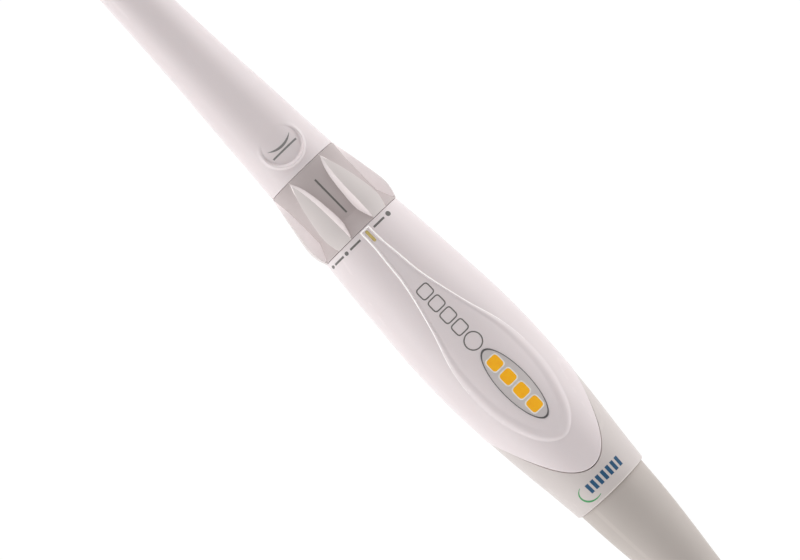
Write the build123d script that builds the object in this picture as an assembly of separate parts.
"""Intraoral dental camera: a slim handpiece with a lens head, a focus ring, a body and a pull-off tail.

Everything is drawn about the handpiece's long axis, which runs along X with the lens head at +X.
Z is up, out of the face that carries the touch zone, and z = 0 on that axis. X is counted from a point
on the flat that the camera rests on. Each piece is lifted as it is saved, so that this flat lies at
z = 0 in the files. All sizes are in millimetres.
"""
from build123d import *
from math import atan2, degrees
import os

# ---- stations along the long axis
TAIL_END_X = -98.0
REAR_FACE_X = -53.0
BODY_FRONT_X = 31.2
NECK_REAR_X = 51.0
HEAD_X = 140.8
HEAD_RADIUS = 6.2
AXIS_HEIGHT = 12.75

# ---- the body's outer form: station, half width, height above the axis, depth below it
BODY_STATIONS = [
    (-53.0, 10.6, 10.6, 10.6),
    (-45.0, 11.4, 11.1, 11.2),
    (-33.0, 12.75, 11.8, 12.1),
    (-21.0, 13.6, 12.25, 12.75),
    (-9.0, 14.0, 12.5, 13.2),
    (3.0, 13.65, 12.5, 13.35),
    (13.0, 12.9, 12.3, 13.3),
    (22.0, 12.2, 11.95, 12.95),
    (31.2, 11.3, 11.3, 11.3),
]
BODY_WALL = 1.6
REAR_WALL = 2.6
FRONT_WALL = 2.0
REAR_INSET = 0.2
SEAM_GAP = 0.12

# ---- the neck's outer form: station, half width, half height
NECK_STATIONS = [
    (51.0, 9.75, 9.7),
    (60.0, 9.1, 9.05),
    (72.0, 8.35, 8.3),
    (84.0, 7.5, 7.45),
    (96.0, 6.85, 6.75),
    (108.0, 6.3, 6.15),
    (120.0, 5.95, 5.65),
    (130.0, 5.95, 5.3),
    (140.8, 6.2, 5.0),
]
NECK_WALL = 1.1
TOUCH_X = 58.5
TOUCH_RADIUS = 4.9
TOUCH_BAR_RADIUS = 9.0
DISH_HEIGHTS = (9.1, 8.9)
LIP_RADIUS = 5.8
LIP_HEIGHTS = (10.0, 8.75)

# ---- the seam between body and rear shell, seen from the side: x and z from the top to the underside
SEAM_LINE = [
    (-46.0, 11.15),
    (-42.3, 9.65),
    (-37.5, 7.85),
    (-30.8, 5.0),
    (-26.3, 1.6),
    (-24.9, -2.5),
    (-24.3, -12.75),
]
LAP_LENGTH = 3.0

# ---- teardrop inlay: station and half width, from the ring end to the widest part and round
INLAY_OUTLINE = [
    (30.6, 1.2),
    (21.4, 1.9),
    (9.6, 4.0),
    (-2.2, 7.15),
    (-14.0, 9.35),
    (-25.7, 8.2),
    (-36.3, 0.0),
]
INLAY_PROUD = 0.3
INLAY_DEPTH = 0.85
BADGE_X = -19.1
BADGE_HALF_LENGTH = 10.8
BADGE_HALF_WIDTH = 3.6
BADGE_THICKNESS = 0.5
STATUS_X = 28.7
STATUS_LENGTH = 3.0
STATUS_WIDTH = 0.9
STATUS_ROOT = 9.5

# ---- focus ring: six petals on a base cone; profiles as station and radius
RING_REAR_X = 31.35
RING_FRONT_X = 50.85
RING_BORE = 8.35
PETAL_COUNT = 6
PETAL_PROFILE = [(50.85, 9.78), (45.1, 10.9), (39.2, 11.98), (35.8, 12.4), (33.2, 12.1), (31.35, 11.5)]
BASE_PROFILE = [(50.85, 9.75), (46.0, 9.6), (35.7, 9.95), (31.35, 11.4)]
PETAL_FOOT = [(31.0, 2.45), (33.2, 2.65), (37.0, 2.82), (41.0, 2.5), (45.0, 2.0), (51.0, 0.0)]
PETAL_CREST = [(31.0, 2.35), (33.2, 2.5), (37.0, 2.55), (41.0, 2.1), (45.0, 1.35), (50.0, 0.0)]
PETAL_FOOT_Z = 8.0
PETAL_CREST_Z = 12.3
INDEX_SPAN = (36.6, 47.2)
INDEX_WIDTH = 0.45
MARK_DEPTH = 0.15

# ---- focus scale printed on the body: dots as angle and radius, bars as two angles, + toward +Y
SCALE_X = 29.7
SCALE_DOTS = [(-36.0, 0.65), (36.0, 0.5), (71.0, 0.3)]
SCALE_BARS = [(-28.0, -10.0), (12.0, 29.0), (42.0, 63.0)]
SCALE_BAR_WIDTH = 0.5

# ---- focusing: the ring turns the cam sleeve, whose slot moves the lens carriage
FOCUS_X = 41.0
FOCUS_TURN_BACK = 36.0
FOCUS_TURN_FORWARD = 72.0
FOCUS_TRAVEL = 6.0
CORE_FRONT_X = 56.4
CORE_OUTER = 8.3
CORE_INNER = 7.0
FLANGE_REAR_X = 24.5
FLANGE_RADIUS = 9.8
CAM_OUTER = 6.93
CAM_INNER = 6.2
CARRIAGE_RADIUS = 6.1
CARRIAGE_LENGTH = 7.0
FOLLOWER_RADIUS = 0.5
FOLLOWER_TOP = 6.85
DRIVE_PIN_RADIUS = 0.6
DRIVE_PIN_END = 9.15
SLOT_CLEARANCE = 0.1
SLOT_END_ANGLE = 5.0
ROD_RADIUS = 0.5
ROD_Y = 4.6
ROD_Z = -2.0
ROD_SPAN = (27.5, 53.5)
MOUNT_SPAN = (52.3, 54.3)
GUIDE_SPAN = (27.0, 29.0)
FILTER_RADIUS = 3.6
FILTER_THICKNESS = 0.8
GUIDE_OPENING = 3.0
SEAL_STATIONS = (34.0, 48.0)
SEAL_SECTION = 0.38
SEAL_CENTRE = 7.945

# ---- optics in the neck
RELAY_OUTER = 2.2
RELAY_INNER = 1.8
RELAY_REAR_X = 51.2
RELAY_FRONT_X = 139.2
RELAY_LENS_COUNT = 5
RELAY_LENS_LENGTH = 12.0
FOCUS_LENS_RADIUS = 3.2
LENS_DOME_RADIUS = 6.0
LENS_DOME_X = 0.6

# ---- lens head, looking down
BOSS_RADIUS = 5.4
BOSS_FACE_Z = -5.3
WINDOW_RADIUS = 4.3
WINDOW_THICKNESS = 0.6
WINDOW_SEAT = 0.8
LED_CIRCLE = 2.95
LED_COUNT = 7
BLUE_LEDS = (1, 3, 5)
LED_SIZE = 1.0
PRISM_HALF = 1.4

# ---- tail and its connector
TAIL_PROFILE = [(-53.15, 9.7), (-62.0, 9.1), (-74.0, 7.8), (-87.0, 6.15), (-97.2, 5.0)]
TAIL_WALL = 1.5
SPIGOT_RADIUS = 8.4
SPIGOT_FRONT_X = -45.8
SOCKET_BORE = 8.5
BULKHEAD_X = -44.0
BULKHEAD_THICKNESS = 1.6
SOCKET_RADIUS = 4.8
CUP_RADIUS = 3.7
CUP_REAR_X = -50.0
CUP_FLOOR_X = -43.0
PLUG_RADIUS = 3.6
PIN_COUNT = 8
PIN_CIRCLE = 2.3
PIN_RADIUS = 0.25
CONTACT_RADIUS = 0.45
KEY_HALF = 0.7
LEAD_Y = 1.6
LEAD_RADIUS = 0.4
LEAD_ROUTE = [(-39.3, 1.6), (-37.2, 1.6), (-33.5, 2.05), (-31.0, 2.05)]
TAIL_SEAL_CENTRE = 8.03
TAIL_SEAL_SECTION = 0.42
TAIL_SEAL_X = -49.65
CABLE_RADIUS = 2.5
GLAND_RADIUS = 3.3
GLAND_LENGTH = 14.0

# ---- electronics in the body
BOARD_REAR_X = -34.0
BOARD_FRONT_X = 20.0
BOARD_HALF_WIDTH = 7.0
BOARD_THICKNESS = 1.0
BOARD_Z = 0.6
BOARD_TOP = BOARD_Z + BOARD_THICKNESS
BOARD_SCREWS_X = (-31.0, 17.5)
BOARD_SCREW_Y = 6.2
FOOT_STATIONS = (-11.0, 14.0)

# ---- flat cable from the lens head to the main board
FLEX_HALF = 1.4
FLEX_THICKNESS = 0.2
FLEX_HEAD_Z = -2.7
FLEX_Z = -5.0
FLEX_BOARD_Z = BOARD_Z - 0.5

# ---- screws that hold sensor board and core tube to the body shell
SCREW_COUNT = 3
SCREW_PHASE = 60.0
SCREW_CIRCLE = 9.0
SCREW_RADIUS = 0.45
SCREW_TIP_X = 28.6
SCREW_HEAD_RADIUS = 0.85
SCREW_HEAD = 0.6
SCREW_SLOT = 0.24

FAR = 60.0
FIT = 0.02


# ======================================================================== helpers
def cylinder_x(radius, x0, x1, y=0.0, z=0.0):
    """A cylinder along X from x0 to x1."""
    length = abs(x1 - x0)
    return Pos((x0 + x1) / 2, y, z) * Rot(0, 90, 0) * Cylinder(radius, length)


def tube_x(outer, inner, x0, x1):
    """A plain tube along the long axis."""
    return cylinder_x(outer, x0, x1) - cylinder_x(inner, x0 - 1, x1 + 1)


def cylinder_z(radius, z0, z1, x=0.0, y=0.0):
    """An upright cylinder from z0 to z1."""
    return Pos(x, y, (z0 + z1) / 2) * Cylinder(radius, z1 - z0)


def block(x0, x1, y0, y1, z0, z1):
    """A box between two corners."""
    return Pos((x0 + x1) / 2, (y0 + y1) / 2, (z0 + z1) / 2) * Box(x1 - x0, y1 - y0, z1 - z0)


def around_x(index, count, shape, phase=0.0):
    """A shape turned about the long axis to its place in an even circle."""
    return Rot(phase + 360.0 * index / count, 0, 0) * shape


def seal_x(centre, section, x):
    """A sealing ring round the long axis."""
    return Pos(x, 0, 0) * Rot(0, 90, 0) * Torus(centre, section)


def group(shapes):
    """Several separate solids that share one node."""
    return Compound([solid for shape in shapes for solid in shape.solids()])


def turned(points, smooth=False):
    """A solid turned about the long axis from (x, radius) points, on a curve or on straight runs."""
    profile = [(x, 0, r) for x, r in points]
    outline = Spline(profile) if smooth else Polyline(profile)
    first, last = profile[0], profile[-1]
    axis_side = Polyline([last, (last[0], 0, 0), (first[0], 0, 0), first])
    return revolve(make_face([outline, axis_side]), Axis.X)


# ======================================================================== outer forms
def egg_section(x, half_width, above, below):
    """A section across the axis: half an ellipse above it and half an ellipse below it."""
    top = EllipticalCenterArc((0, 0), half_width, above, start_angle=0, arc_size=180)
    under = EllipticalCenterArc((0, 0), half_width, below, start_angle=180, arc_size=180)
    return Plane.YZ.offset(x) * make_face([top, under])


def body_form(grow=0.0):
    """The body's full outer form, grown or shrunk by an even amount."""
    return loft([egg_section(x, w + grow, t + grow, b + grow) for x, w, t, b in BODY_STATIONS])


def neck_form(grow=0.0):
    """The neck with its rounded head, grown or shrunk by an even amount."""
    neck = loft([egg_section(x, w + grow, h + grow, h + grow) for x, w, h in NECK_STATIONS])
    height = NECK_STATIONS[-1][2] + grow
    edge = EllipticalCenterArc((0, 0), HEAD_RADIUS + grow, height, start_angle=-90, arc_size=180)
    half_oval = make_face([edge, Line((0, height), (0, -height))])
    head = Rot(0, 0, -90) * revolve(Plane.XZ * half_oval, Axis.Z, 180)
    return neck + Pos(HEAD_X, 0, 0) * head


def seam_zone(shift=0.0):
    """The space behind the seam, where the rear shell is."""
    line = [(x + shift, 0, z) for x, z in SEAM_LINE]
    (top_x, _, top_z), (bottom_x, _, bottom_z) = line[0], line[-1]
    outline = [
        Spline(line),
        Polyline(
            (top_x, 0, top_z),
            (top_x - 6, 0, top_z + 4),
            (-FAR, 0, top_z + 4),
            (-FAR, 0, bottom_z - 8),
            (bottom_x, 0, bottom_z - 8),
            (bottom_x, 0, bottom_z),
        ),
    ]
    return extrude(make_face(outline), 20, dir=(0, 1, 0), both=True)


def below_rest():
    """The space under the flat that the camera rests on."""
    return block(-FAR, FAR, -20, 20, -30, -AXIS_HEIGHT)


def teardrop(grow=0.0):
    """The inlay's outline as an upright prism."""
    points = [(x, w + grow) for x, w in INLAY_OUTLINE[:-1]] + [(INLAY_OUTLINE[-1][0] - grow, 0)]
    front_x = points[0][0] + grow
    points[0] = (front_x, points[0][1])
    side = Spline(points, tangents=[(-1, 0.05), (0, -1)])
    other = Spline([(x, -w) for x, w in points], tangents=[(-1, -0.05), (0, 1)])
    front = Line((front_x, -points[0][1]), (front_x, points[0][1]))
    return extrude(make_face([side, other, front]), 30)


def badge_prism(grow=0.0):
    """The badge's oval as an upright prism."""
    return Pos(BADGE_X, 0, 0) * extrude(Ellipse(BADGE_HALF_LENGTH + grow, BADGE_HALF_WIDTH + grow), 30)


def status_slot(grow=0.0):
    """The status light's round-ended slot as an upright prism."""
    slot = SlotOverall(STATUS_LENGTH + 2 * grow, STATUS_WIDTH + 2 * grow)
    return Pos(STATUS_X, 0, 0) * extrude(slot, 30)


# ======================================================================== casing
def make_body_shell(form):
    """The main casing: front wall, screw posts, a recess for the inlay and the scale's shallow seats."""
    hollow = form["inner"]
    for k in range(SCREW_COUNT):
        hollow -= around_x(k, SCREW_COUNT, post(), SCREW_PHASE)
    shell = form["outer"] - hollow - below_rest() - seam_zone(SEAM_GAP)
    shell -= cylinder_x(CORE_OUTER + FIT, BODY_FRONT_X - 10, BODY_FRONT_X + 1)
    for k in range(SCREW_COUNT):
        shell -= around_x(k, SCREW_COUNT, screw_hole(), SCREW_PHASE)
    shell -= teardrop(0.05) - form["inlay_floor"]
    shell -= status_slot(0.05) - cylinder_x(STATUS_ROOT, 20, 40)
    return shell - make_focus_scale(form)


def post():
    """A post from the front wall that the core tube's flange is screwed to."""
    return cylinder_x(1.2, 26.55, BODY_FRONT_X, 0, SCREW_CIRCLE)


def screw_hole():
    return cylinder_x(SCREW_RADIUS + FIT, 20, SCREW_TIP_X + 0.2, 0, SCREW_CIRCLE)


def make_rear_shell(form):
    """The rear casing: a lap inside the body shell, a bulkhead for the socket, a bore for the tail."""
    shell = body_form(-REAR_INSET) & seam_zone()
    shell = fillet(shell.edges().filter_by(Plane.YZ).group_by(Axis.X)[0], 0.8)
    shell += body_form(-BODY_WALL - 0.05) & seam_zone(LAP_LENGTH)
    shell -= body_form(-REAR_WALL) & block(BULKHEAD_X + BULKHEAD_THICKNESS, FAR, -20, 20, -20, 20)
    shell -= cylinder_x(SOCKET_BORE, REAR_FACE_X - 1, BULKHEAD_X)
    return shell - cylinder_x(SOCKET_RADIUS + 0.05, BULKHEAD_X - 1, BULKHEAD_X + 5)


def make_inlay(form):
    """The teardrop panel, with a pocket for the badge and a slot for the status light."""
    panel = (teardrop() & form["inlay_top"]) - form["inlay_floor"]
    panel -= badge_prism(0.05) - form["badge_floor"]
    return panel - status_slot(0.05)


def make_badge(form):
    """The oval plate in the inlay, a little proud of it."""
    return (badge_prism() & body_form(INLAY_PROUD + 0.1)) - form["badge_floor"]


def make_status_lens(form):
    """The amber lens, flush with the inlay and reaching down through the shell."""
    return (status_slot() & form["inlay_top"]) - cylinder_x(STATUS_ROOT, 20, 40)


def sector(half_width, inner, outer, angle_from, angle_to, x):
    """A round-about block centred on x, between two angles counted about +X from straight up."""
    face = make_face(
        Polyline(
            (x - half_width, 0, inner),
            (x + half_width, 0, inner),
            (x + half_width, 0, outer),
            (x - half_width, 0, outer),
            (x - half_width, 0, inner),
        )
    )
    return Rot(angle_from, 0, 0) * revolve(face, Axis.X, angle_to - angle_from)


def make_focus_scale(form):
    """The printed dots and bars beside the ring, as thin fills in the body's skin."""
    marks = [Rot(-angle, 0, 0) * cylinder_z(radius, 9, 14, SCALE_X) for angle, radius in SCALE_DOTS]
    for start, end in SCALE_BARS:
        marks.append(sector(SCALE_BAR_WIDTH / 2, 9, 14, -end, -start, SCALE_X))
    skin = form["outer"] - form["mark_floor"]
    return group([mark & skin for mark in marks])


# ======================================================================== neck
def touch_surface(rear, front, grow=0.0):
    """A round bar whose top runs from one height behind the touch zone to another in front of it."""
    run = 2 * TOUCH_RADIUS
    tilt = degrees(atan2(rear - front, run))
    middle = (TOUCH_X, 0, (rear + front) / 2 - TOUCH_BAR_RADIUS)
    return Pos(*middle) * Rot(0, 90 + tilt, 0) * Cylinder(TOUCH_BAR_RADIUS + grow, 3 * run)


def make_neck_shell(icon):
    """Neck and lens head in one moulding, with the touch zone's lip and dish on its upper face."""
    shell = neck_form()
    lip = cylinder_z(LIP_RADIUS, 6, 12, TOUCH_X) & touch_surface(*LIP_HEIGHTS)
    shell += lip
    shell -= cylinder_z(TOUCH_RADIUS, 6, 12, TOUCH_X) - touch_surface(*DISH_HEIGHTS)
    boss = cylinder_z(BOSS_RADIUS, BOSS_FACE_Z, 0, HEAD_X)
    shell += fillet(boss.faces().sort_by(Axis.Z)[0].edges(), 0.6)
    shell -= neck_form(-NECK_WALL)
    shell -= cylinder_x(CORE_OUTER + FIT, NECK_REAR_X - 1, CORE_FRONT_X + 0.05)
    shell -= cylinder_z(WINDOW_RADIUS + 0.05, BOSS_FACE_Z - 1, BOSS_FACE_Z + WINDOW_SEAT, HEAD_X)
    shell -= cylinder_z(WINDOW_RADIUS - 0.5, BOSS_FACE_Z - 1, 0, HEAD_X)
    return shell - icon


def make_touch_icon():
    """The touch zone's printed sign: a bar and a crescent, as thin fills in the dish."""
    bar = block(57.3, 57.75, -3.65, 3.65, 0, 12)
    ends = [(60.0, -3.5), (60.0, 3.5)]
    crescent = make_face(
        [ThreePointArc(ends[0], (58.4, 0), ends[1]), ThreePointArc(ends[1], (58.95, 0), ends[0])]
    )
    skin = touch_surface(*DISH_HEIGHTS) - touch_surface(*DISH_HEIGHTS, grow=-MARK_DEPTH)
    return group([bar & skin, extrude(crescent, 12) & skin])


def make_touch_electrode():
    """The sensing foil under the dish, curved to the neck's inside."""
    foil = neck_form(-NECK_WALL - 0.03) - neck_form(-NECK_WALL - 0.2)
    return foil & cylinder_z(3.2, 0, 12, CORE_FRONT_X + 3.6)


# ======================================================================== lens head
def make_window():
    return cylinder_z(WINDOW_RADIUS, BOSS_FACE_Z, BOSS_FACE_Z + WINDOW_THICKNESS, HEAD_X)


def make_window_gasket():
    ring = cylinder_z(WINDOW_RADIUS, BOSS_FACE_Z + WINDOW_THICKNESS, BOSS_FACE_Z + WINDOW_SEAT, HEAD_X)
    return ring - cylinder_z(WINDOW_RADIUS - 0.5, -10, 0, HEAD_X)


def make_led_board():
    board = cylinder_z(WINDOW_RADIUS - 0.6, -3.2, -2.8, HEAD_X)
    return board - cylinder_z(1.5, -5, 0, HEAD_X)


def make_leds(blue):
    """The blue or the white lamps of the circle round the objective."""
    lamps = []
    for k in range(LED_COUNT):
        if (k in BLUE_LEDS) == blue:
            lamp = Pos(LED_CIRCLE, 0, -3.45) * Box(LED_SIZE, LED_SIZE, 0.5)
            lamps.append(Pos(HEAD_X, 0, 0) * Rot(0, 0, 360.0 * k / LED_COUNT) * lamp)
    return group(lamps)


def make_objective_cell():
    return cylinder_z(1.45, -4.4, -1.6, HEAD_X) - cylinder_z(1.1, -5, 0, HEAD_X)


def make_objective_lens():
    """A small front lens, flat inside and domed outside."""
    return cylinder_z(1.08, -4.3, -3.0, HEAD_X) & (Pos(HEAD_X, 0, -1.9) * Sphere(2.4))


def make_prism():
    """The right-angle prism that turns the view from down to along the neck."""
    h = PRISM_HALF
    face = make_face(Polyline((-h, 0, -h), (h, 0, -h), (-h, 0, h), (-h, 0, -h)))
    return Pos(HEAD_X, 0, 0) * extrude(face, h, dir=(0, 1, 0), both=True)


def make_prism_housing():
    """The metal block that holds the prism, with a seat for the end of the relay tube."""
    room = PRISM_HALF + FIT
    housing = block(HEAD_X - 3.4, HEAD_X + 2.4, -2.4, 2.4, -1.6, 2.4)
    housing -= block(HEAD_X - room, HEAD_X + room, -room, room, -2, room)
    return housing - cylinder_x(RELAY_OUTER + FIT, HEAD_X - 4, RELAY_FRONT_X + 0.1)


# ======================================================================== relay optics
def make_relay_tube():
    return tube_x(RELAY_OUTER, RELAY_INNER, RELAY_REAR_X, RELAY_FRONT_X)


def relay_rear(k):
    """Where relay lens k starts."""
    free = RELAY_FRONT_X - RELAY_REAR_X - RELAY_LENS_LENGTH - 2
    return RELAY_REAR_X + 1 + k * free / (RELAY_LENS_COUNT - 1)


def make_relay_lenses():
    starts = [relay_rear(k) for k in range(RELAY_LENS_COUNT)]
    return group([cylinder_x(RELAY_INNER - FIT, x, x + RELAY_LENS_LENGTH) for x in starts])


def make_relay_spacers():
    spans = [(relay_rear(k) + RELAY_LENS_LENGTH, relay_rear(k + 1)) for k in range(RELAY_LENS_COUNT - 1)]
    return group([tube_x(RELAY_INNER - FIT, 1.4, a + FIT, b - FIT) for a, b in spans])


def make_relay_mount():
    """The front disc: holds the relay tube and the guide rods, with a notch for the flat cable."""
    disc = tube_x(CORE_INNER - FIT, RELAY_OUTER + FIT, *MOUNT_SPAN)
    for side in (-1, 1):
        disc -= cylinder_x(ROD_RADIUS + FIT, 50, ROD_SPAN[1] + 0.1, side * ROD_Y, ROD_Z)
    return disc - flex_notch(50, 56)


# ======================================================================== focusing
def make_core_tube():
    """The fixed tube that joins neck and body: seal grooves, a slot for the drive pin, a rear flange."""
    tube = cylinder_x(CORE_OUTER, FLANGE_REAR_X, CORE_FRONT_X)
    tube += cylinder_x(FLANGE_RADIUS, FLANGE_REAR_X, FLANGE_REAR_X + 2)
    tube -= cylinder_x(CORE_INNER, 20, 60)
    for x in SEAL_STATIONS:
        tube -= tube_x(CORE_OUTER + 1, SEAL_CENTRE - SEAL_SECTION - FIT, x - 0.5, x + 0.5)
    half = DRIVE_PIN_RADIUS + SLOT_CLEARANCE
    margin = degrees(half / CORE_INNER)
    start = 180 - FOCUS_TURN_FORWARD - margin
    end = 180 + FOCUS_TURN_BACK + margin
    tube -= sector(half, CORE_INNER - 1, CORE_OUTER + 1, start, end, FOCUS_X)
    for k in range(SCREW_COUNT):
        tube -= around_x(k, SCREW_COUNT, screw_hole(), SCREW_PHASE)
    return tube - block(20, 27, -2.2, 2.2, CORE_OUTER + 0.1, 12)


def make_ring_seals():
    return group([seal_x(SEAL_CENTRE, SEAL_SECTION, x) for x in SEAL_STATIONS])


def petal():
    """One grip petal at the top of the ring: pointed at the front, with sloping flanks."""
    outlines = []
    for points, z in ((PETAL_FOOT, PETAL_FOOT_Z), (PETAL_CREST, PETAL_CREST_Z)):
        left = Spline([(x, y, z) for x, y in points])
        right = Spline([(x, -y, z) for x, y in reversed(points)])
        back = Line((points[0][0], -points[0][1], z), (points[0][0], points[0][1], z))
        outlines.append(make_face([left, right, back]))
    return loft(outlines, ruled=True) & turned(PETAL_PROFILE, smooth=True)


def make_focus_ring():
    """The grip ring: a base, six petals with valleys between them, and a blind hole for the pin."""
    ring = turned(BASE_PROFILE)
    one = petal()
    for k in range(PETAL_COUNT):
        ring += around_x(k, PETAL_COUNT, one, 180.0 / PETAL_COUNT)
    ring -= cylinder_x(RING_BORE, RING_REAR_X - 1, RING_FRONT_X + 1)
    ring -= cylinder_z(DRIVE_PIN_RADIUS + FIT, -DRIVE_PIN_END - FIT, 0, FOCUS_X)
    return ring - make_ring_index()


def make_ring_index():
    """The ring's index line, a thin fill in the upper valley."""
    line = block(INDEX_SPAN[0], INDEX_SPAN[1], -INDEX_WIDTH / 2, INDEX_WIDTH / 2, 5, 14)
    return (line & turned(BASE_PROFILE)) - turned([(x, r - MARK_DEPTH) for x, r in BASE_PROFILE])


def make_drive_pin():
    """The pin that carries the ring's turn through the core tube to the cam sleeve."""
    return cylinder_z(DRIVE_PIN_RADIUS, -DRIVE_PIN_END, -CAM_INNER - 0.05, FOCUS_X)


def make_cam_sleeve():
    """The inner sleeve that turns with the ring. Its slanting slot pushes the carriage along."""
    turn = FOCUS_TURN_BACK + FOCUS_TURN_FORWARD
    lead = FOCUS_TRAVEL / turn
    first = -FOCUS_TURN_BACK - SLOT_END_ANGLE
    length = lead * (turn + 2 * SLOT_END_ANGLE)
    path = Helix(360 * lead, length, (CAM_OUTER + CAM_INNER) / 2)
    width = 2 * FOLLOWER_RADIUS + SLOT_CLEARANCE
    section = Plane(origin=path @ 0, x_dir=(1, 0, 0), z_dir=path % 0) * Rectangle(2.0, width)
    slot = sweep(section, path=path, is_frenet=True)
    sleeve = tube_x(CAM_OUTER, CAM_INNER, 30.0, 52.0)
    sleeve -= Pos(FOCUS_X + lead * first, 0, 0) * Rot(180 + first, 0, 0) * Rot(0, 90, 0) * slot
    return sleeve - cylinder_z(DRIVE_PIN_RADIUS + FIT, -9, 0, FOCUS_X)


def make_carriage():
    """The lens carriage: a thick ring on two guide rods, with a notch for the flat cable."""
    rear, front = FOCUS_X - CARRIAGE_LENGTH / 2, FOCUS_X + CARRIAGE_LENGTH / 2
    carriage = cylinder_x(CARRIAGE_RADIUS, rear, front)
    carriage -= cylinder_x(FOCUS_LENS_RADIUS - 0.4, rear - 1, front + 1)
    carriage -= cylinder_x(FOCUS_LENS_RADIUS + FIT, rear + 1.2, front + 1)
    for side in (-1, 1):
        carriage -= cylinder_x(ROD_RADIUS + 0.05, rear - 1, front + 1, side * ROD_Y, ROD_Z)
    carriage -= cylinder_z(FOLLOWER_RADIUS + FIT, 4.0, 8, FOCUS_X)
    return carriage - flex_notch(rear - 1, front + 1)


def make_follower_pin():
    return cylinder_z(FOLLOWER_RADIUS, 4.05, FOLLOWER_TOP, FOCUS_X)


def make_focus_lens(front):
    """One half of the focusing doublet: a domed lens at the back, a hollow one in front of it."""
    dome = Pos(FOCUS_X + LENS_DOME_X - LENS_DOME_RADIUS, 0, 0) * Sphere(LENS_DOME_RADIUS)
    if front:
        return cylinder_x(FOCUS_LENS_RADIUS, FOCUS_X - 1.6, FOCUS_X + 1.6) - dome
    return cylinder_x(FOCUS_LENS_RADIUS, FOCUS_X - 2.2, FOCUS_X + 1.6) & dome


def make_guide_rods():
    """The two rods that the carriage slides on."""
    return group([cylinder_x(ROD_RADIUS, *ROD_SPAN, side * ROD_Y, ROD_Z) for side in (-1, 1)])


def make_rear_guide():
    """The rear disc in the core tube: holds the guide rods and the filter."""
    filter_x = sum(GUIDE_SPAN) / 2
    disc = tube_x(CORE_INNER - FIT, GUIDE_OPENING, *GUIDE_SPAN) - cylinder_x(FILTER_RADIUS, filter_x, 30)
    for side in (-1, 1):
        disc -= cylinder_x(ROD_RADIUS + FIT, ROD_SPAN[0] - 0.1, 30, side * ROD_Y, ROD_Z)
    return disc - flex_notch(26, 30)


def make_filter():
    """The disc that keeps infrared light from the sensor, in its seat in the rear disc."""
    filter_x = sum(GUIDE_SPAN) / 2
    return cylinder_x(FILTER_RADIUS - FIT, filter_x, filter_x + FILTER_THICKNESS)


# ======================================================================== sensor
def make_sensor_board():
    board = cylinder_x(FLANGE_RADIUS - 0.2, FLANGE_REAR_X - 1.0, FLANGE_REAR_X)
    for k in range(SCREW_COUNT):
        board -= around_x(k, SCREW_COUNT, screw_hole(), SCREW_PHASE)
    return board - flex_notch(20, 30) - block(20, 27, -2.2, 2.2, CORE_OUTER + 0.1, 12)


def make_image_sensor():
    chip = block(FLANGE_REAR_X, FLANGE_REAR_X + 0.9, -3.0, 3.0, -2.6, 2.6)
    return chip - block(FLANGE_REAR_X + 0.5, FLANGE_REAR_X + 2, -2.6, 2.6, -2.2, 2.2)


def make_sensor_glass():
    return block(FLANGE_REAR_X + 0.55, FLANGE_REAR_X + 0.9, -2.58, 2.58, -2.18, 2.18)


def make_sensor_screws():
    """Three screws through sensor board and flange into the body's posts."""
    back = FLANGE_REAR_X - 1.0
    screw = cylinder_x(SCREW_RADIUS, back - 0.01, SCREW_TIP_X, 0, SCREW_CIRCLE)
    head = cylinder_x(SCREW_HEAD_RADIUS, back - SCREW_HEAD, back, 0, SCREW_CIRCLE)
    slot = Pos(back - SCREW_HEAD, 0, SCREW_CIRCLE) * Box(SCREW_HEAD, 2, SCREW_SLOT)
    screw += head - slot
    return group([around_x(k, SCREW_COUNT, screw, SCREW_PHASE) for k in range(SCREW_COUNT)])


# ======================================================================== flat cable
def flex_notch(x0, x1):
    """The opening under the axis that lets the flat cable by."""
    return block(x0, x1, -FLEX_HALF - 0.5, FLEX_HALF + 0.5, -12, FLEX_Z + 0.5)


def make_flex_cable():
    """The ribbon from the lamps in the head to the main board, one even strip with wide bends."""
    middle = FilletPolyline(
        (138.0, 0, FLEX_HEAD_Z),
        (62.0, 0, FLEX_HEAD_Z),
        (56.5, 0, FLEX_Z),
        (19.0, 0, FLEX_Z),
        (14.0, 0, FLEX_BOARD_Z),
        (9.0, 0, FLEX_BOARD_Z),
        radius=2.0,
    )
    start = Plane(origin=middle @ 0, x_dir=(0, 1, 0), z_dir=middle % 0)
    return sweep(start * Rectangle(2 * FLEX_HALF, FLEX_THICKNESS), path=middle)


# ======================================================================== electronics
def make_chassis(form):
    """The tray: two rails that carry the main board and two feet that stand on the body shell."""
    tray = block(-36.0, 21.0, -7.6, 7.6, -2.8, -1.8)
    for side in (-1, 1):
        tray += block(-36.0, 21.0, side * 6.8 - 0.8, side * 6.8 + 0.8, -1.9, BOARD_Z)
        for x in BOARD_SCREWS_X:
            tray -= cylinder_z(SCREW_RADIUS + FIT, -2.2, BOARD_Z + 1, x, side * BOARD_SCREW_Y)
    tray -= block(6.0, 22.0, -FLEX_HALF - 0.6, FLEX_HALF + 0.6, -4, 0)
    for x in FOOT_STATIONS:
        foot = block(x - 0.8, x + 0.8, -7.0, 7.0, -13.0, -2.7)
        tray += foot - block(x - 2, x + 2, -4.0, 4.0, -13.0, -4.2)
    return tray & form["inner_fit"]


def make_main_board():
    board = block(BOARD_REAR_X, BOARD_FRONT_X, -BOARD_HALF_WIDTH, BOARD_HALF_WIDTH, BOARD_Z, BOARD_TOP)
    for side in (-1, 1):
        for x in BOARD_SCREWS_X:
            board -= cylinder_z(SCREW_RADIUS + FIT, BOARD_Z - 1, BOARD_TOP + 1, x, side * BOARD_SCREW_Y)
    return board


def on_board(x, y, length, width, height):
    """A flat package standing on the main board."""
    return Pos(x, y, BOARD_TOP + height / 2) * Box(length, width, height)


def make_processor():
    return on_board(-8.0, 0, 9.0, 9.0, 1.1)


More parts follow.
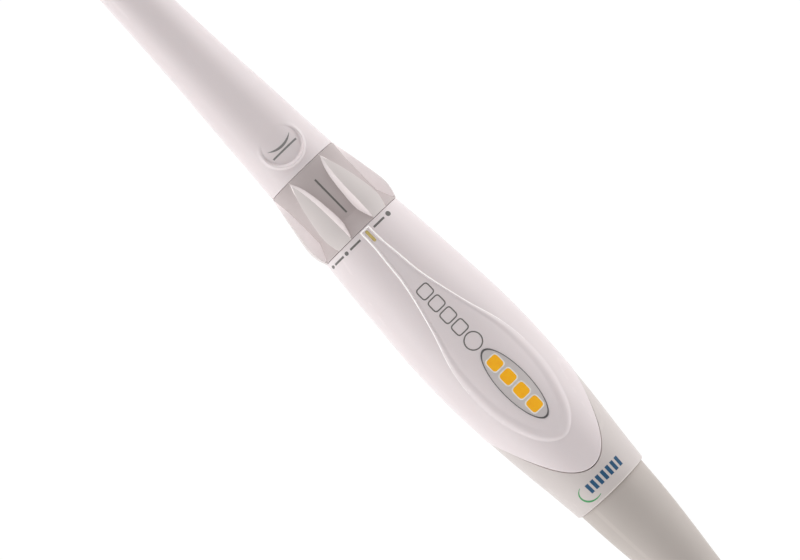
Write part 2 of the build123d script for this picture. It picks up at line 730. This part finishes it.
def make_shield_can():
    """A pressed cover over the radio-quiet part of the board."""
    can = on_board(6.0, 0, 12.0, 9.6, 1.8)
    return fillet(can.edges().filter_by(Axis.Z), 0.8)


def make_board_chips():
    places = [(-19.0, 2.6, 5.0, 4.0, 0.9), (-19.0, -3.2, 4.0, 4.0, 0.8), (-26.5, 0.0, 3.2, 2.5, 1.0)]
    places += [(15.5, 3.4, 3.0, 3.0, 0.8), (15.5, -3.0, 4.2, 3.0, 0.8)]
    return group([on_board(*place) for place in places])


def make_board_passives():
    """Rows of small capacitors and coils."""
    rows = [(-13.8, 1.0, 0.6), (-2.4, 1.0, 0.6), (12.6, 1.2, 0.8), (-23.6, 1.2, 0.7)]
    parts = []
    for x, size, height in rows:
        parts += [on_board(x, y, size, size * 0.55, height) for y in (-3.2, -1.6, 0.0, 1.6, 3.2)]
    return group(parts)


def make_board_plug():
    """The connector under the board that takes the flat cable."""
    plug = block(5.0, 9.4, -2.6, 2.6, BOARD_Z - 1.0, BOARD_Z)
    half_width = FLEX_HALF + 0.1
    half_height = FLEX_THICKNESS / 2 + FIT
    return plug - block(
        8.9, 10.0, -half_width, half_width, FLEX_BOARD_Z - half_height, FLEX_BOARD_Z + half_height
    )


def make_board_screws():
    screws = []
    for side in (-1, 1):
        for x in BOARD_SCREWS_X:
            y = side * BOARD_SCREW_Y
            screw = cylinder_z(SCREW_RADIUS, -2.1, BOARD_TOP + 0.01, x, y)
            head = cylinder_z(SCREW_HEAD_RADIUS, BOARD_TOP, BOARD_TOP + SCREW_HEAD, x, y)
            slot = Pos(x, y, BOARD_TOP + SCREW_HEAD) * Box(2, SCREW_SLOT, SCREW_HEAD)
            screws.append(screw + (head - slot))
    return group(screws)


def make_status_board():
    """The small carrier that stands on the core tube and holds the status lamp."""
    return block(27.0, 29.0, -1.5, 1.5, CORE_OUTER + FIT, CORE_OUTER + 0.42)


def make_status_led():
    return block(27.6, 28.8, -0.5, 0.5, CORE_OUTER + 0.42, CORE_OUTER + 1.0)


# ======================================================================== connector
def make_rear_socket():
    """The round socket in the bulkhead, open to the rear, with a key way at the top."""
    inside_x = BULKHEAD_X + BULKHEAD_THICKNESS
    socket = cylinder_x(SOCKET_RADIUS, CUP_REAR_X, inside_x + 2.0)
    socket += cylinder_x(SOCKET_RADIUS + 1.2, inside_x, inside_x + 1.0)
    socket -= cylinder_x(CUP_RADIUS, CUP_REAR_X - 1, CUP_FLOOR_X)
    socket -= block(CUP_REAR_X - 1, CUP_FLOOR_X, -KEY_HALF - 0.1, KEY_HALF + 0.1, 0, CUP_RADIUS + 0.6)
    for k in range(PIN_COUNT):
        socket -= around_x(k, PIN_COUNT, cylinder_x(PIN_RADIUS + FIT, -60, 0, 0, PIN_CIRCLE))
    return socket


def make_socket_pins():
    pin = cylinder_x(PIN_RADIUS, CUP_REAR_X + 1.5, -39.4, 0, PIN_CIRCLE)
    return group([around_x(k, PIN_COUNT, pin) for k in range(PIN_COUNT)])


def make_socket_leads():
    """Two short leads from the socket's pins to the main board, held all the way."""
    leads = []
    for side in (-1, 1):
        y = side * LEAD_Y
        path = FilletPolyline([(x, y, z) for x, z in LEAD_ROUTE], radius=1.5)
        start = Plane(origin=path @ 0, z_dir=path % 0)
        leads.append(sweep(start * Circle(LEAD_RADIUS), path=path))
    return group(leads)


def make_tail_sleeve():
    """The tapered tail with a spigot that pulls out of the rear shell."""
    sleeve = turned(TAIL_PROFILE, smooth=True)
    sleeve += cylinder_x(TAIL_PROFILE[-1][1], TAIL_PROFILE[-1][0] + 0.01, TAIL_END_X)
    sleeve = fillet(sleeve.edges().filter_by(GeomType.CIRCLE).sort_by(Axis.X)[0], 0.7)
    sleeve += cylinder_x(SPIGOT_RADIUS, SPIGOT_FRONT_X, TAIL_PROFILE[0][0] - 1)
    hollow = turned([(x, r - TAIL_WALL) for x, r in TAIL_PROFILE], smooth=True)
    sleeve -= hollow & block(TAIL_END_X + GLAND_LENGTH, TAIL_PROFILE[0][0] - 1.5, -20, 20, -20, 20)
    sleeve -= cylinder_x(SPIGOT_RADIUS - 1.2, SPIGOT_FRONT_X + 1, TAIL_PROFILE[0][0] - 3)
    sleeve -= cylinder_x(GLAND_RADIUS + FIT, TAIL_END_X - 1, TAIL_END_X + GLAND_LENGTH + 1)
    groove = TAIL_SEAL_CENTRE - TAIL_SEAL_SECTION - FIT
    return sleeve - tube_x(SPIGOT_RADIUS + 1, groove, TAIL_SEAL_X - 0.55, TAIL_SEAL_X + 0.55)


def make_tail_seal():
    return seal_x(TAIL_SEAL_CENTRE, TAIL_SEAL_SECTION, TAIL_SEAL_X)


def make_tail_plug():
    """The plug inside the tail: a flange in the sleeve and a nose with contact holes and a key."""
    plug = cylinder_x(PLUG_RADIUS, -58.0, CUP_FLOOR_X - 0.2)
    plug += cylinder_x(SPIGOT_RADIUS - 1.22, -54.5, -51.0)
    plug += block(-51.0, CUP_FLOOR_X - 0.4, -KEY_HALF, KEY_HALF, 0, PLUG_RADIUS + 0.5)
    for k in range(PIN_COUNT):
        plug -= around_x(k, PIN_COUNT, cylinder_x(CONTACT_RADIUS + FIT, -60, 0, 0, PIN_CIRCLE))
    return plug


def make_plug_contacts():
    contact = cylinder_x(CONTACT_RADIUS, -59.5, CUP_FLOOR_X - 0.5, 0, PIN_CIRCLE)
    contact -= cylinder_x(PIN_RADIUS + 0.06, -49.0, 0, 0, PIN_CIRCLE)
    return group([around_x(k, PIN_COUNT, contact) for k in range(PIN_COUNT)])


def make_cable_gland():
    """The soft bush that grips the cable where it leaves the tail."""
    bush = cylinder_x(GLAND_RADIUS, TAIL_END_X, TAIL_END_X + GLAND_LENGTH)
    return bush - cylinder_x(CABLE_RADIUS, TAIL_END_X - 1, TAIL_END_X + GLAND_LENGTH + 1)


# ======================================================================== all pieces
def make_parts():
    """Every piece by name, about the long axis."""
    behind_front_wall = block(-FAR, BODY_FRONT_X - FRONT_WALL, -20, 20, -20, 20)
    form = {
        "outer": body_form(),
        "inner": body_form(-BODY_WALL) & behind_front_wall,
        "inner_fit": body_form(-BODY_WALL - FIT) & behind_front_wall,
        "inlay_top": body_form(INLAY_PROUD),
        "inlay_floor": body_form(INLAY_PROUD - INLAY_DEPTH),
        "badge_floor": body_form(INLAY_PROUD - BADGE_THICKNESS),
        "mark_floor": body_form(-MARK_DEPTH),
    }
    icon = make_touch_icon()
    return {
        "neck_shell": make_neck_shell(icon),
        "touch_icon": icon,
        "touch_electrode": make_touch_electrode(),
        "window": make_window(),
        "window_gasket": make_window_gasket(),
        "led_board": make_led_board(),
        "white_leds": make_leds(blue=False),
        "blue_leds": make_leds(blue=True),
        "objective_cell": make_objective_cell(),
        "objective_lens": make_objective_lens(),
        "prism": make_prism(),
        "prism_housing": make_prism_housing(),
        "relay_tube": make_relay_tube(),
        "relay_lenses": make_relay_lenses(),
        "relay_spacers": make_relay_spacers(),
        "relay_mount": make_relay_mount(),
        "core_tube": make_core_tube(),
        "ring_seals": make_ring_seals(),
        "focus_ring": make_focus_ring(),
        "ring_index": make_ring_index(),
        "drive_pin": make_drive_pin(),
        "cam_sleeve": make_cam_sleeve(),
        "focus_carriage": make_carriage(),
        "follower_pin": make_follower_pin(),
        "focus_lens_front": make_focus_lens(front=True),
        "focus_lens_rear": make_focus_lens(front=False),
        "guide_rods": make_guide_rods(),
        "rear_guide": make_rear_guide(),
        "infrared_filter": make_filter(),
        "sensor_board": make_sensor_board(),
        "image_sensor": make_image_sensor(),
        "sensor_glass": make_sensor_glass(),
        "sensor_screws": make_sensor_screws(),
        "flex_cable": make_flex_cable(),
        "body_shell": make_body_shell(form),
        "inlay_panel": make_inlay(form),
        "badge": make_badge(form),
        "status_lens": make_status_lens(form),
        "status_board": make_status_board(),
        "status_led": make_status_led(),
        "focus_scale": make_focus_scale(form),
        "rear_shell": make_rear_shell(form),
        "chassis": make_chassis(form),
        "main_board": make_main_board(),
        "processor": make_processor(),
        "shield_can": make_shield_can(),
        "board_chips": make_board_chips(),
        "board_passives": make_board_passives(),
        "board_plug": make_board_plug(),
        "board_screws": make_board_screws(),
        "rear_socket": make_rear_socket(),
        "socket_pins": make_socket_pins(),
        "socket_leads": make_socket_leads(),
        "tail_sleeve": make_tail_sleeve(),
        "tail_seal": make_tail_seal(),
        "tail_plug": make_tail_plug(),
        "plug_contacts": make_plug_contacts(),
        "cable_gland": make_cable_gland(),
    }


os.makedirs("parts", exist_ok=True)
for node, shape in make_parts().items():
    export_step(Pos(0, 0, AXIS_HEIGHT) * shape, f"parts/{node}.step")
